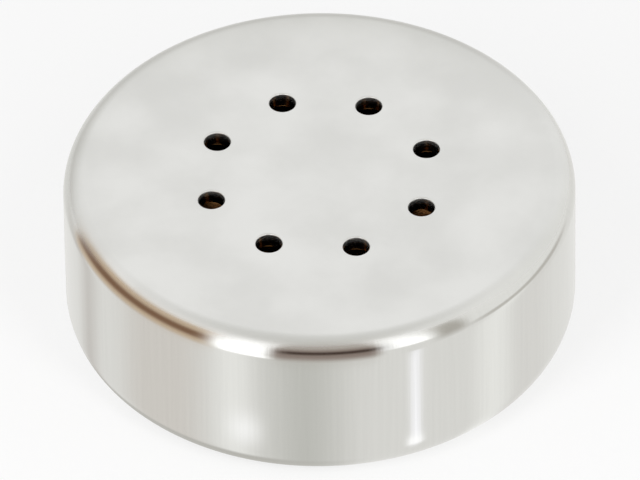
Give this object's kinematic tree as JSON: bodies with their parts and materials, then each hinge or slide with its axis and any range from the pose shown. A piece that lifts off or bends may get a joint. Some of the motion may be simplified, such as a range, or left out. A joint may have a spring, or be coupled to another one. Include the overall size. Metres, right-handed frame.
{
  "type": "electret microphone capsule",
  "caption": "Flat round leadless electret microphone capsule: drawn metal can with a ring of sound holes, rim curled over a small board with solder terminals.",
  "frame": {"origin": "centre of the flat rear face of the curled rim", "axes": "+Z along the can's axis, out of the sound holes; +X from the ground terminal to the output terminal"},
  "size_m": [0.006, 0.006, 0.0021],
  "materials": {
    "can_metal": "satin, drawn",
    "plated_ring": "nickel plated",
    "metallised_film": "gold metallised",
    "spacer_film": "clear film",
    "electret_film": "clear film",
    "plate_metal": "rolled sheet",
    "holder_plastic": "moulded",
    "board_laminate": "coated laminate",
    "board_copper": "gold flash on copper",
    "moulding_black": "moulded epoxy",
    "tinned_metal": "tin plated",
    "chip_ceramic": "fired ceramic",
    "solder": "bright solder"
  },
  "bodies": {
    "root": {"can": "can_metal", "diaphragm_ring": "plated_ring", "diaphragm": "metallised_film", "spacer": "spacer_film", "electret_film": "electret_film", "back_plate": "plate_metal", "plate_holder": "holder_plastic", "gate_ring": "plated_ring", "circuit_board": "board_laminate", "gate_track": "board_copper", "output_copper": "board_copper", "ground_copper": "board_copper", "transistor_body": "moulding_black", "gate_lead": "tinned_metal", "drain_lead": "tinned_metal", "source_lead": "tinned_metal", "capacitor_1": "chip_ceramic", "capacitor_1_ends": "tinned_metal", "capacitor_2": "chip_ceramic", "capacitor_2_ends": "tinned_metal", "component_solder": "solder", "output_terminal": "solder", "ground_terminal": "solder"}
  },
  "joints": []
}
